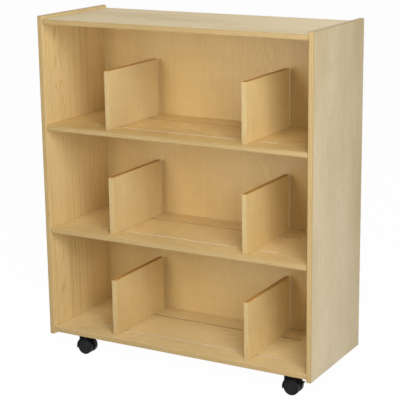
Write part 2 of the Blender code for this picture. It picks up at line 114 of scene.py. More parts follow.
# Wheels, whose face is share of the radius and depth below its outermost plane
WHEEL_FACE = [
    (0.0, 0.0), (0.24, 0.0), (0.28, 0.0004), (0.32, 0.0004), (0.36, 0.0), (0.74, 0.0),
    (0.77, 0.0010), (0.81, 0.0010), (0.84, 0.0), (0.95, 0.0), (0.985, 0.0008), (1.0, 0.0024),
]
TREAD_RISE, TREAD_SLOPE = 0.0020, 0.0018
WHEEL_BORE, WHEEL_CAP = 0.0028, 0.003

# Hoods, whose angles go round the axle from +x up, in degrees
HOOD_TRAIL, HOOD_LEAD = 56.0, 196.0
WEB_TRAIL, WEB_LEAD = 59.0, 195.0
NOTCH_START, NOTCH_LAP = 70.5, 1.0
HOOD_EASE = 0.0009
WEB_CORE, WEB_LAP = 0.0035, 0.001
HUB_RADIUS, HUB_EASE = 0.0075, 0.0004
BOSS_EASE = 0.0006
WELL_LAP, WELL_ROOM, WELL_REACH = 0.0008, 0.0015, 0.002
HINGE_BITE = 0.002

# Brake levers, with angles as for the hoods
HINGE_PLACE, SHOE_END = 63.0, 27.0
LEVER_THICKNESS, LEVER_GAP, LEVER_TAB, LEVER_EASE = 0.0026, 0.0035, 0.009, 0.0004
BARREL_RADIUS, BARREL_EASE = 0.0025, 0.0003
RIBS, RIB_RADIUS, RIB_INSET, RIB_PITCH = 3, 0.0006, 0.0012, 0.0022

# Lamps: degrees right of front, degrees up, distance from the cart's middle, then width and height
LAMPS = {
    "key": ((41.0, 37.0, 3.6), (1.4, 1.9)),
    "side": ((46.0, 12.0, 2.0), (0.8, 0.8)),
    "fill": ((-10.0, 16.0, 3.6), (1.0, 1.9)),
    "rear": ((166.0, 50.0, 3.6), (2.2, 1.6)),
    "left": ((-85.0, 20.0, 3.6), (1.6, 1.6)),
}
FLOOR_SIZE, SENSOR_WIDTH, VIEW_DEPTH = 14.0, 36.0, 60.0


def length(title, words, default):
    return FloatProperty(name=title, description=words, default=default, min=0.0, unit="LENGTH", precision=5)


def vector(title, words, default, **kind):
    return FloatVectorProperty(name=title, description=words, default=default, **kind)


def colour(title, words, default):
    return vector(title, words, default, size=3, min=0.0, max=1.0, subtype="COLOR")


def power(title, words, default):
    return FloatProperty(name=title, description=words, default=default, min=0.0, unit="POWER")


class CartSizes(bpy.types.PropertyGroup):
    """Sizes of the details that the frame doesn't carry."""

    fit_gap: length("Fit gap", "Gap between pieces that fit together", 0.0003)
    edge_round: length("Edge round", "Radius of the eased edges of sides, top and bottom shelf", 0.003)
    nose_round: length("Nose round", "Radius of the rounded noses of the middle shelves", 0.006)
    divider_round: length("Divider round", "Radius of the eased edges of the dividers", 0.0025)
    ply: length("Ply", "Thickness of one veneer in the plywood", 0.00227)
    groove_depth: length("Groove depth", "Depth of the groove round the back panel", 0.006)
    housing_depth: length("Housing depth", "Depth of the housings for the middle shelves", 0.005)
    housing_stop: length("Housing stop", "Distance from a shelf's nose to its housing's front", 0.014)
    slot_ease: length("Slot ease", "Width of the broken edge round each slot", 0.0012)
    slot_clearance: length("Slot clearance", "Gap between a guide screw and its slot's wall", 0.0004)
    slot_end_inset: length("Slot end inset", "Distance from a side's inner face to a slot's end", 0.130)
    guide_radius: length("Guide radius", "Radius of a guide screw's shank", 0.003)
    plug_radius: length("Plug radius", "Radius of the wood plugs over the side screws", 0.00475)
    plug_depth: length("Plug depth", "Depth of the wood plugs", 0.0037)
    shank_radius: length("Shank radius", "Radius of a side screw's shank", 0.0025)
    pin_radius: length("Pin radius", "Radius of a caster's kingpin", 0.0045)
    axle_radius: length("Axle radius", "Radius of a caster's axle", 0.0025)
    hood_gap: length("Hood gap", "Gap between a wheel's tread and its hood", 0.002)
    hood_wall: length("Hood wall", "Thickness of the hood", 0.0025)
    hood_half_width: length("Hood half width", "Half of the hood's width along the axle", 0.0195)
    web: length("Web", "Thickness of the web between the wheels", 0.008)
    boss_radius: length("Boss radius", "Radius of the post round the swivel axis", 0.0075)
    hinge_radius: length("Hinge radius", "Radius of the bar that a brake lever turns on", 0.0012)
    lever_width: length("Lever width", "Width of a brake lever", 0.018)
    wheel_facets: IntProperty(name="Wheel facets", description="Facets round a wheel", default=64, min=12)


class CartColours(bpy.types.PropertyGroup):
    """Linear colours of the finishes."""

    birch_pale: colour("Pale birch", "Lightest tone of the veneer", (0.78, 0.585, 0.277))
    birch_deep: colour("Deep birch", "Darkest tone of the veneer's figure", (0.595, 0.40, 0.148))
    # Blended in, these greyer tones partly paint light: the lacquer's whitish sheen on the top and the right
    # side, and the stronger light on the lower shelves.
    side_pale: colour("Pale side", "Lightest tone of the greyer veneer", (0.63, 0.508, 0.292))
    side_deep: colour("Deep side", "Darkest tone of the greyer veneer", (0.485, 0.368, 0.175))
    birch_fleck: colour("Fleck", "Short dark pores in the veneer", (0.30, 0.17, 0.06))
    ply_light: colour("Light ply", "Veneers whose grain runs along an edge", (0.48, 0.35, 0.165))
    ply_dark: colour("Dark ply", "Veneers cut across at an edge", (0.355, 0.235, 0.085))
    glue_line: colour("Glue line", "Thin line between two veneers", (0.32, 0.19, 0.07))
    lip_light: colour("Light lip", "Lighter veneers on a divider's upright edges", (0.515, 0.385, 0.185))
    lip_dark: colour("Dark lip", "Darker veneers on a divider's upright edges", (0.46, 0.33, 0.15))
    # Bare routed wood. Its paler colour is painted light, standing in for the light that falls into the
    # front slots.
    routed_painted_light: colour("Routed ply painted light", "Freshly cut veneers inside the front slots", (0.62, 0.50, 0.33))
    end_light: colour("Light end grain", "Lighter veneers on a divider's top", (0.56, 0.32, 0.095))
    end_dark: colour("Dark end grain", "Darker veneers on a divider's top", (0.40, 0.205, 0.055))
    nylon: colour("Nylon", "Hoods and brake levers", (0.004, 0.004, 0.004))
    wheel: colour("Wheel", "Wheels and their treads", (0.006, 0.006, 0.0065))
    zinc: colour("Zinc", "Plates, screws and axles", (0.58, 0.58, 0.60))
    floor: colour("Floor", "Studio floor", (0.92, 0.92, 0.92))


class StudioSettings(bpy.types.PropertyGroup):
    """Camera and lamps."""

    lens: FloatProperty(name="Lens", description="Focal length for 36 mm", default=116.765, unit="CAMERA")
    camera_place: vector("Camera place", "Where it stands", (1.904523, -3.344270, 1.499531), subtype="XYZ")
    camera_turn: vector(
        "Camera turn", "How it is turned",
        (math.radians(75.968478), math.radians(0.413528), math.radians(28.207008)), subtype="EULER",
    )
    shift: vector("Shift", "How far the picture is cropped off the lens axis", (-0.075, -0.025), size=2)
    key_power: power("Key lamp", "Tall lamp to the front right", 71.0)
    side_power: power("Side lamp", "Near lamp at the right front corner", 12.0)
    fill_power: power("Fill lamp", "Lamp in front", 48.0)
    rear_power: power("Rear lamp", "High lamp behind", 42.0)
    left_power: power("Left lamp", "Lamp to the left", 24.0)
    sky: FloatProperty(name="Sky", description="Strength of the light from all round", default=0.05, min=0.0)
    floor_white: FloatProperty(
        name="Floor white", description="Share of plain white in the floor as it is seen",
        default=0.98, min=0.0, max=1.0,
    )


# Mesh shapes


def centre_of(node):
    low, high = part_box(node)
    return (low + high) / 2


def settled(name, shape):
    """The shape as a mesh, and the shape let go."""
    mesh = bpy.data.meshes.new(name)
    shape.to_mesh(mesh)
    shape.free()
    return mesh


def put(name, data):
    """A new object in the scene."""
    item = bpy.data.objects.new(name, data)
    bpy.context.scene.collection.objects.link(item)
    return item


def block(low, high):
    shape = bmesh.new()
    low, high = Vector(low), Vector(high)
    place = Matrix.Translation((low + high) / 2) @ Matrix.Diagonal((*(high - low), 1.0))
    bmesh.ops.create_cube(shape, size=1.0, matrix=place)
    return shape


def round_over(shape, edges, radius, segments):
    bmesh.ops.bevel(
        shape, geom=edges, offset=radius, segments=segments, profile=0.5, affect="EDGES", material=-1,
        clamp_overlap=True,
    )
    return shape


def ease(shape, radius, segments, wanted=lambda middle: True):
    """Round over the edges whose middles pass the test."""
    edges = [edge for edge in shape.edges if wanted((edge.verts[0].co + edge.verts[1].co) / 2)]
    return round_over(shape, edges, radius, segments)


def soften(shape, radius, segments, degrees=30.0):
    """Round over every edge that turns by more than so many degrees."""
    limit = math.radians(degrees)
    sharp = [edge for edge in shape.edges if edge.is_manifold and edge.calc_face_angle() > limit]
    return round_over(shape, sharp, radius, segments)


def outward(shape):
    bmesh.ops.recalc_face_normals(shape, faces=shape.faces)
    return shape


def prism(outline, low, high):
    """The outline (x, y) drawn up from z = low to z = high."""
    shape = bmesh.new()
    face = shape.faces.new([shape.verts.new((x, y, low)) for x, y in outline])
    raised = bmesh.ops.extrude_face_region(shape, geom=[face], use_keep_orig=True)
    lifted = [item for item in raised["geom"] if isinstance(item, bmesh.types.BMVert)]
    bmesh.ops.translate(shape, verts=lifted, vec=(0.0, 0.0, high - low))
    return outward(shape)


def point_at(radius, degrees, centre=(0.0, 0.0)):
    turn = math.radians(degrees)
    return centre[0] + radius * math.cos(turn), centre[1] + radius * math.sin(turn)


def arc(radius, start, stop, steps, centre=(0.0, 0.0)):
    """Points along an arc from one angle to another, in degrees."""
    return [point_at(radius, start + (stop - start) * step / steps, centre) for step in range(steps + 1)]


def turned(profile, facets):
    """A solid turned about Z from (radius, height) points that start and end on the axis."""
    shape = bmesh.new()
    chain = [shape.verts.new((radius, 0.0, height)) for radius, height in profile]
    edges = [shape.edges.new(pair) for pair in zip(chain, chain[1:])]
    around = {"cent": (0, 0, 0), "axis": (0, 0, 1), "angle": 2 * math.pi, "steps": facets}
    bmesh.ops.spin(shape, geom=chain + edges, use_merge=True, **around)
    bmesh.ops.remove_doubles(shape, verts=shape.verts, dist=1e-6)
    return outward(shape)


def rod(radius, low, high, facets):
    """A round bar along Z."""
    return turned([(0.0, high), (radius, high), (radius, low), (0.0, low)], facets)


def moved(shape, place, turn=Matrix.Identity(4)):
    bmesh.ops.transform(shape, verts=shape.verts, matrix=Matrix.Translation(place) @ turn)
    return shape


def upright(shape):
    """Turn a shape drawn in x and y up into x and z."""
    return moved(shape, (0, 0, 0), Matrix.Rotation(QUARTER, 4, "X"))


def lying(shape, place, axis, toward=1):
    """Lay a shape turned about Z along x or y, with its top the given way."""
    about, sign = ("Y", 1) if axis == "x" else ("X", -1)
    return moved(shape, place, Matrix.Rotation(sign * toward * QUARTER, 4, about))


def joined(*shapes):
    """Several closed shapes as one."""
    whole = bmesh.new()
    for shape in shapes:
        part = settled("part", shape)
        whole.from_mesh(part)
        bpy.data.meshes.remove(part)
    return whole


def cut_away(shape, cutters):
    """The shape with the cutters taken out of it, and without the slivers that a cut can leave."""
    blank = put("blank", settled("blank", shape))
    tools = [put("tool", settled("tool", cutter)) for cutter in cutters]
    for tool in tools:
        modifier = blank.modifiers.new("cut", "BOOLEAN")
        modifier.operation = "DIFFERENCE"
        modifier.object = tool
    cut = blank.evaluated_get(bpy.context.evaluated_depsgraph_get())
    mesh = bpy.data.meshes.new_from_object(cut)
    left = bmesh.new()
    left.from_mesh(mesh)
    bpy.data.meshes.remove(mesh)
    bmesh.ops.dissolve_degenerate(left, dist=1e-7, edges=left.edges)
    for item in [blank, *tools]:
        data = item.data
        bpy.data.objects.remove(item, do_unlink=True)
        bpy.data.meshes.remove(data)
    return left


def show_edges(shape, axis):
    """Give the faces that don't look along the board's thickness the second material."""
    for face in shape.faces:
        face.material_index = 0 if abs(face.normal[axis]) > LOOKS_ALONG else 1
    return shape


def publish(name, shape, finishes, body, stands_for=(), flat_faces=False):
    """Make the shape a piece that rides on a body."""
    shape.normal_update()
    mesh = settled(name, shape)
    for finish in finishes:
        mesh.materials.append(finish)
    mesh.shade_smooth()
    mesh.set_sharp_from_angle(angle=SHARP)
    item = put(name, mesh)
    if flat_faces:
        weighted = item.modifiers.new("flat_faces", "WEIGHTED_NORMAL")
        weighted.keep_sharp = True
    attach(item, body)
    if stands_for:
        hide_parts(*stands_for)


def refinish(item, finish):
    """Give a carried-over node a better material."""
    item.data.materials.clear()
    item.data.materials.append(finish)


# Finishes

# A noise's values lie mostly between these
NOISE_LOW, NOISE_HIGH = 0.3, 0.7
# Sockets of a Mix node that is set to colours
MIX_FIRST, MIX_SECOND, MIX_RESULT = 6, 7, 2


class Nodes:
    """A node tree, filled and joined one node at a time."""

    def __init__(self, tree):
        self.tree = tree

    def add(self, kind, settings=(), **inputs):
        node = self.tree.nodes.new(kind)
        for name, value in dict(settings).items():
            setattr(node, name, value)
        for name, value in inputs.items():
            self.feed(node.inputs[name], value)
        return node

    def feed(self, socket, value):
        if isinstance(value, bpy.types.NodeSocket):
            self.tree.links.new(value, socket)
        elif socket.type == "RGBA":
            socket.default_value = (*value, 1.0)
        else:
            socket.default_value = value

    def math(self, operation, first, second=0.0):
        node = self.add("ShaderNodeMath", {"operation": operation})
        self.feed(node.inputs[0], first)
        self.feed(node.inputs[1], second)
        return node.outputs["Value"]

    def span(self, value, low, high, to_low=0.0, to_high=1.0):
        """The value's range stretched to another, and held to it."""
        limits = {"From Min": low, "From Max": high, "To Min": to_low, "To Max": to_high}
        return self.add("ShaderNodeMapRange", Value=value, **limits).outputs["Result"]


class Finish(Nodes):
    """A material's nodes."""

    def __init__(self, name):
        self.material = bpy.data.materials.new(name)
        self.material.use_nodes = True
        super().__init__(self.material.node_tree)
        self.shader = self.tree.nodes["Principled BSDF"]
        self.place = self.add("ShaderNodeTexCoord").outputs["Object"]

    def stretched(self, scale, turn=(0.0, 0.0, 0.0), shift=(0.0, 0.0, 0.0)):
        """Object coordinates turned and shifted, then scaled along each axis."""
        laid = self.add("ShaderNodeMapping", Vector=self.place, Rotation=turn, Location=shift)
        scaled = self.add("ShaderNodeMapping", Vector=laid.outputs["Vector"], Scale=scale)
        return scaled.outputs["Vector"]

    def noise(self, vector, scale=1.0, detail=2.0, roughness=0.5):
        inputs = {"Scale": scale, "Detail": detail, "Roughness": roughness}
        return self.add("ShaderNodeTexNoise", Vector=vector, **inputs).outputs["Fac"]

    def between(self, noise, low, high):
        """A noise that swings from low to high."""
        return self.span(noise, NOISE_LOW, NOISE_HIGH, low, high)

    def blend(self, share, first, second):
        """A colour between two colours."""
        node = self.add("ShaderNodeMix", {"data_type": "RGBA"}, Factor=share)
        self.feed(node.inputs[MIX_FIRST], first)
        self.feed(node.inputs[MIX_SECOND], second)
        return node.outputs[MIX_RESULT]

    def surface(self, base, roughness, height=None, depth=0.0, metallic=0.0, gloss=0.5):
        """Feed the shader, with a bump of the given depth in metres."""
        looks = {"Base Color": base, "Roughness": roughness, "Metallic": metallic}
        looks["Specular IOR Level"] = gloss
        if height is not None:
            looks["Normal"] = self.add("ShaderNodeBump", Height=height, Distance=depth).outputs["Normal"]
        for name, value in looks.items():
            self.feed(self.shader.inputs[name], value)
        return self.material


# How a veneer lies: the turn that puts its fibres along x, then how much its face spreads along y and z
LEVEL_LAY = ((0.0, 0.0, 0.0), (1.0, 0.0))
SIDE_LAY = ((0.0, QUARTER, 0.0), (1.0, 0.0))
BACK_LAY = ((0.0, QUARTER, 0.0), (0.0, 1.0))

# Each veneer: lay, heart, figure, tone and how far it is greyer, then its clouds, its streaks and its range
# of roughness, unless these are plain
PLAIN = (0.24, 0.05, (0.24, 0.38))
VENEERS = {
    "left_side": (SIDE_LAY, (0.25, 0.105), 0.95, -0.66, 0.12, 0.40, 0.75, (0.24, 0.38)),
    # The right side's full greyness is partly painted sheen, for the lacquer's whitish reflection on it
    "right_side": (SIDE_LAY, (6.4, -0.02), 0.20, 0.0, 1.0, 0.60, 0.0, (0.22, 0.44)),
    # The top's greyness is partly painted sheen, for the white reflection on its lacquer
    "top": (LEVEL_LAY, (2.9, 0.05), 0.40, -0.44, 0.75, 0.46, 0.20, (0.47, 0.60)),
    # From the upper shelf down, the shelves are paler and greyer. This is partly painted light, for the
    # stronger light on the lower shelves.
    "upper": (LEVEL_LAY, (1.1, 0.12), 0.14, 0.27, 0.0),
    "lower": (LEVEL_LAY, (2.3, -0.04), 0.14, -0.06, 0.2),
    "bottom": (LEVEL_LAY, (3.9, 0.06), 0.14, -0.22, 0.4),
    "back": (BACK_LAY, (0.9, 0.13), 0.24, 0.28, 0.15),
    "divider_upper_left": (SIDE_LAY, (0.6, -0.08), 0.14, -0.14, 0.5),
    "divider_lower_left": (SIDE_LAY, (1.9, -0.08), 0.14, -0.08, 0.4),
    "divider_bottom_left": (SIDE_LAY, (3.2, -0.08), 0.14, 0.0, 0.25),
    "divider_upper_right": (SIDE_LAY, (0.6, 0.08), 0.14, -0.40, 0.05),
    "divider_lower_right": (SIDE_LAY, (1.9, 0.08), 0.14, -0.16, 0.0),
    "divider_bottom_right": (SIDE_LAY, (3.2, 0.08), 0.14, -0.22, 0.0),
}
# Textures: cells per metre along the fibres and across, then detail and roughness
GRAIN = {
    "wander": (2.2, 16.0, 3.0, 0.5),
    "fade": (1.1, 7.0, 1.0, 0.5),
    "cloud": (1.5, 5.0, 3.0, 0.55),
    "streak": (1.4, 110.0, 2.0, 0.6),
    "shimmer": (42.0, 7.0, 2.0, 0.5),
    "fibre": (9.0, 460.0, 3.0, 0.6),
    "pores": (70.0, 1000.0, 1.0, 0.5),
}
# Growth rings: how the trunk tapers along the fibres, the rings' spacing and how far they wander
TAPER, RING, RING_WANDER = 0.07, 0.0052, 0.007
# The deep tone's share between rings, its swings by shimmer and fibre, and the pores' stain
DEEP_SHARE, SHIMMER_SWING, FIBRE_SWING, PORE_STAIN = 0.36, 0.06, 0.13, 0.22
# How far fibre swings the roughness
FIBRE_POLISH = 0.03
# Bare wood: scale of its fibres, their range and what it comes to, and the range of roughness
# The routed slot wood is paler than the edge plies. This is painted light, for the light that falls into the
# front slots.
ROUTED_PAINTED_LIGHT = ((40.0, 700.0, 700.0), (NOISE_LOW, NOISE_HIGH, 0.0, 0.3), (0.45, 0.6))
PLUG = ((900.0, 30.0, 900.0), (0.25, 0.75), (0.32, 0.46))
# Depth of the bump of lacquered faces and of bare edges
FACE_BUMP = 0.00002
EDGE_BUMP = 0.00004


def birch_face(board, colours):
    """A board's lacquered veneer from the table: growth rings that arch at its heart, clouds, streaks,
    cross shimmer, fibre and short pores."""
    finish = Finish(f"birch_{board}")
    (turn, spread), heart, figure, tone, greyer, *look = VENEERS[board]
    cloudy, streaky, sheen = look or PLAIN
    start = (heart[0], heart[1] * spread[0], heart[1] * spread[1])

    def grain(texture):
        along, across, detail, roughness = GRAIN[texture]
        return finish.noise(finish.stretched((along, across, across), turn, start), 1.0, detail, roughness)

    rings = finish.add("ShaderNodeVectorMath", {"operation": "LENGTH"})
    finish.feed(rings.inputs[0], finish.stretched((TAPER, *spread), turn, start))
    wander = finish.span(grain("wander"), 0.25, 0.75, -RING_WANDER, RING_WANDER)
    radius = finish.math("ADD", rings.outputs["Value"], wander)
    wave = finish.math("SINE", finish.math("MULTIPLY", radius, 2 * math.pi / RING))
    strength = finish.span(grain("fade"), 0.35, 0.65, 0.3, 1.0)
    line = finish.math("MULTIPLY", finish.span(wave, 0.0, 1.0), strength)
    cloud, fibre = grain("cloud"), grain("fibre")
    share = finish.span(line, 0.0, 1.0, DEEP_SHARE + tone, DEEP_SHARE + tone + figure)
    swings = (
        (cloud, cloudy), (grain("streak"), streaky), (grain("shimmer"), SHIMMER_SWING), (fibre, FIBRE_SWING)
    )
    for texture, swing in swings:
        share = finish.math("ADD", share, finish.between(texture, -swing, swing))
    # Weighted by the table, the greyer tones are partly painted light on the top, the right side and the
    # lower shelves.
    pale = Vector(colours.birch_pale).lerp(Vector(colours.side_pale), greyer)
    deep = Vector(colours.birch_deep).lerp(Vector(colours.side_deep), greyer)
    stain = finish.span(grain("pores"), 0.68, 0.80, 0.0, PORE_STAIN)
    wood = finish.blend(stain, finish.blend(share, pale, deep), colours.birch_fleck)
    brushed = finish.between(fibre, -FIBRE_POLISH, FIBRE_POLISH)
    polish = finish.math("ADD", finish.between(cloud, *sheen), brushed)
    return finish.surface(wood, polish, fibre, FACE_BUMP)


def birch_edge(name, tones, axis, origin, ply):
    """The eased edge of plywood: veneers alternately along and across, with thin glue lines."""
    light, dark, glue = tones
    finish = Finish(name)
    parts = finish.add("ShaderNodeSeparateXYZ", Vector=finish.place)
    across = finish.math("SUBTRACT", parts.outputs[axis], origin)
    wander = finish.noise(finish.place, 14.0)
    across = finish.math("ADD", across, finish.span(wander, 0.0, 1.0, -0.0002, 0.0002))
    pair = finish.math("FRACT", finish.math("DIVIDE", across, 2.0 * ply))
    ramp = finish.add("ShaderNodeValToRGB", Fac=pair)
    stops = [(0.00, light), (0.44, light), (0.48, glue), (0.54, dark), (0.92, dark), (0.97, glue)]
    band = ramp.color_ramp
    while len(band.elements) < len(stops):
        band.elements.new(1.0)
    for element, (position, tone) in zip(band.elements, stops):
        element.position = position
        element.color = (*tone, 1.0)
    fibre = finish.noise(finish.place, 240.0, 3.0, 0.6)
    cloud = finish.noise(finish.place, 9.0)
    worn = finish.blend(finish.span(fibre, 0.35, 0.75, 0.05, 0.40), ramp.outputs["Color"], light)
    toned = finish.blend(finish.span(cloud, 0.35, 0.75, 0.0, 0.35), worn, dark)
    return finish.surface(toned, finish.between(fibre, 0.30, 0.44), fibre, EDGE_BUMP, gloss=0.25)


def bare_wood(name, look, first, second):
    """Unlacquered birch, whose fibres run between two tones."""
    scale, swing, sheen = look
    finish = Finish(name)
    fibre = finish.noise(finish.stretched(scale), 1.0, 3.0, 0.6)
    tone = finish.blend(finish.span(fibre, *swing), first, second)
    return finish.surface(tone, finish.between(fibre, *sheen), fibre, EDGE_BUMP)


def moulded(name, tone, roughness, gloss, grain):
    """Moulded plastic with a fine spark-eroded texture and slight scuffs."""
    finish = Finish(name)
    sparkle = finish.noise(finish.place, 2600.0, 2.0, 0.6)
    scuff = finish.noise(finish.place, 160.0, 4.0, 0.65)
    lighter = [min(1.0, part * 1.9) for part in tone]
    base = finish.blend(finish.span(scuff, 0.45, 0.85, 0.0, 0.7), tone, lighter)
    rough = finish.span(scuff, 0.3, 0.8, roughness - 0.05, roughness + 0.12)
    return finish.surface(base, rough, sparkle, grain, gloss=gloss)


def zinc_plate(name, tone):
    """Bright zinc plating with faint cloudy spangle."""
    finish = Finish(name)
    cloud = finish.noise(finish.place, 180.0, 4.0, 0.6)
    darker = [part * 0.72 for part in tone]
    base = finish.blend(finish.between(cloud, 0.0, 1.0), tone, darker)
    scratch = finish.noise(finish.stretched((1800.0, 140.0, 900.0)))
    return finish.surface(base, finish.between(cloud, 0.28, 0.46), scratch, FACE_BUMP, metallic=1.0)


# Pieces


def settings(context):
    return context.scene.cart_sizes, context.scene.cart_colours


class BOOKCART_OT_case(bpy.types.Operator):
    """Make the sides, the top and the shelves, and refinish the back"""

    bl_idname = "bookcart.case"
    bl_label = "Case boards"

    def execute(self, context):
        sizes, colours = settings(context)
        for side in SIDES:
            self.side(sizes, colours, side)
        # Bare routed wood, painted paler for the light that falls into the front slots
        routed_painted_light = bare_wood("routed_ply", ROUTED_PAINTED_LIGHT, colours.routed_painted_light, colours.birch_pale)
        for node in ("top_panel", "bottom_shelf", "upper_shelf", "lower_shelf"):
            self.level(sizes, colours, node, routed_painted_light)
        refinish(frame["nodes"]["back_panel"], birch_face("back", colours))
        return {"FINISHED"}

    def ply_edge(self, sizes, colours, name, axis, origin):
        tones = (colours.ply_light, colours.ply_dark, colours.glue_line)
        return birch_edge(f"birch_edge_{name}", tones, axis, origin, sizes.ply)

    def side(self, sizes, colours, side):
        """A side with the shelves' housings, the back's groove and the holes for screws and plugs."""
        node, toward = f"{side}_side_panel", SIDES[side]
        low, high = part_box(node)
        back_low, back_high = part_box("back_panel")
        inner, outer = (low.x, high.x) if toward > 0 else (high.x, low.x)
        gap = sizes.fit_gap

        def recess(depth, near, far, under, top):
            first, last = sorted((inner - toward * sizes.edge_round, inner + toward * depth))
            return block((first, near, under - gap), (last, far, top + gap))

        cutters = []
        for level in HOUSED:
            under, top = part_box(f"{level}_shelf")
            stop = under.y + sizes.housing_stop - gap
            cutters.append(recess(sizes.housing_depth, stop, back_low.y, under.z, top.z))
        near, far = back_low.y - gap, back_high.y + gap
        cutters.append(recess(sizes.groove_depth, near, far, back_low.z, back_high.z))
        wide, narrow = sizes.plug_radius + gap / 2, sizes.shank_radius + gap
        seat, through = -2 * sizes.plug_depth, low.x - high.x - OVERCUT
        profile = [
            (0.0, OVERCUT), (wide, OVERCUT), (wide, seat), (narrow, seat), (narrow, through), (0.0, through),
        ]
        for level in SCREWED:
            for row in ENDS:
                place = centre_of(f"side_screw_{side}_{level}_{row}")
                hole = turned(profile, POST_FACETS)
                cutters.append(lying(hole, (outer, place.y, place.z), "x", toward))
        board = ease(block(low, high), sizes.edge_round, 6)
        board = show_edges(cut_away(board, cutters), 0)
        name = f"{side}_side"
        finishes = [birch_face(name, colours), self.ply_edge(sizes, colours, name, 0, outer)]
        publish(f"board_{name}", board, finishes, "cabinet", [node], True)

    def level(self, sizes, colours, node, routed_painted_light):
        """The top or a shelf, with its nose, groove, screw bores and slots."""
        level = node.split("_")[0]
        low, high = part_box(node)
        gap, half, radius, cutters = sizes.fit_gap, high.x, sizes.edge_round, []
        if level in HOUSED:
            half, radius = high.x - sizes.housing_depth, sizes.nose_round
            stop = low.y + sizes.housing_stop
            right = [(half, low.y), (half, stop), (high.x, stop), (high.x, high.y)]
            board = prism(right + [(-x, y) for x, y in reversed(right)], low.z, high.z)
        else:
            board = block(low, high)
            back_low, back_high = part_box("back_panel")
            under, over = low.z - gap, low.z + sizes.groove_depth
            if level == "bottom":
                under, over = high.z - sizes.groove_depth, high.z + gap
            groove = block((low.x - gap, back_low.y - gap, under), (high.x + gap, back_high.y + gap, over))
            cutters = [*self.screw_bores(sizes, level, low, high), groove]

        def on_nose(middle):
            return middle.y < low.y + gap and (abs(middle.x) < gap or abs(middle.x) > half - gap)

        ease(board, radius, 8, on_nose)
        finishes = [birch_face(level, colours), self.ply_edge(sizes, colours, node, 2, low.z)]
        if level == "top":
            board = show_edges(cut_away(board, cutters), 2)
        else:
            board = self.slotted(sizes, level, board, cutters)
            # The shelves' third material is the paler routed wood, which paints light into the front slots
            finishes.append(routed_painted_light)
        publish(f"board_{node}", board, finishes, "cabinet", [node], True)

    def screw_bores(self, sizes, level, low, high):
        """Cutters for the side screws in the two ends of a board."""
        bores = []
        for side, toward in SIDES.items():
            for row in ENDS:
                node = f"side_screw_{side}_{level}_{row}"
                first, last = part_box(node)
                place = centre_of(node)
                tip = (first.x if toward > 0 else last.x) - toward * sizes.fit_gap
                mouth = (high.x if toward > 0 else low.x) + toward * OVERCUT
                bore = rod(sizes.shank_radius + sizes.fit_gap, 0.0, abs(mouth - tip), BORE_FACETS)
                bores.append(lying(bore, (tip, place.y, place.z), "x", toward))
        return bores

    def slotted(self, sizes, level, board, cutters):
        """A shelf with its two slots, their rims broken."""
        low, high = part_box(f"{level}_shelf")
        side_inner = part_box("right_side_panel")[0].x
        half_width = sizes.guide_radius + sizes.slot_clearance
        straight = side_inner - sizes.slot_end_inset - half_width
        outline = arc(half_width, -90.0, 90.0, SLOT_STEPS, (straight, 0.0))
        outline += arc(half_width, 90.0, 270.0, SLOT_STEPS, (-straight, 0.0))
        rows = [centre_of(f"guide_screw_{level}_right_{row}").y for row in ENDS]
        for row in rows:
            slot = prism(outline, low.z - OVERCUT, high.z + OVERCUT)
            cutters.append(moved(slot, (0.0, row, 0.0)))
        board = cut_away(board, cutters)

        def on_rim(edge):
            for vert in edge.verts:
                beside = max(abs(vert.co.x) - straight, 0.0)
                off_wall = min(abs(math.hypot(beside, vert.co.y - row) - half_width) for row in rows)
                off_face = min(abs(vert.co.z - low.z), abs(vert.co.z - high.z))
                if max(off_wall, off_face) > ON_IT:
                    return False
            return True

        rims = [edge for edge in board.edges if on_rim(edge)]
        if not rims:
            raise RuntimeError(f"no slot rims were found on the {level} shelf")
        show_edges(round_over(board, rims, sizes.slot_ease, 2), 2)
        # Only the front slot's walls take the paler routed wood, painted light for the light that falls into
        # them. The rear slot keeps the edge plies.
        reach = half_width + 2 * sizes.slot_ease
        for face in board.faces:
            middle = face.calc_center_median()
            in_front_slot = abs(middle.y - rows[0]) < reach and abs(middle.x) < side_inner - sizes.fit_gap
            if face.material_index == 1 and in_front_slot:
                face.material_index = 2
        return board


class BOOKCART_OT_plugs(bpy.types.Operator):
    """Fill the screw holes in the sides with wood plugs"""

    bl_idname = "bookcart.plugs"
    bl_label = "Wood plugs"

    def execute(self, context):
        sizes, colours = settings(context)
        plug_wood = bare_wood("birch_plug", PLUG, colours.side_pale, colours.birch_deep)
        for node in [name for name in frame["nodes"] if name.startswith("side_screw_")]:
            place = centre_of(node)
            side = "right" if place.x > 0 else "left"
            low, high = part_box(f"{side}_side_panel")
            outer = high.x if side == "right" else low.x
            plug = rod(sizes.plug_radius, -sizes.plug_depth, 0.0, POST_FACETS)
            soften(plug, PLUG_EASE, 3)
            lying(plug, (outer, place.y, place.z), "x", SIDES[side])
            publish(node.replace("side_screw", "plug"), plug, [plug_wood], "cabinet")
        return {"FINISHED"}


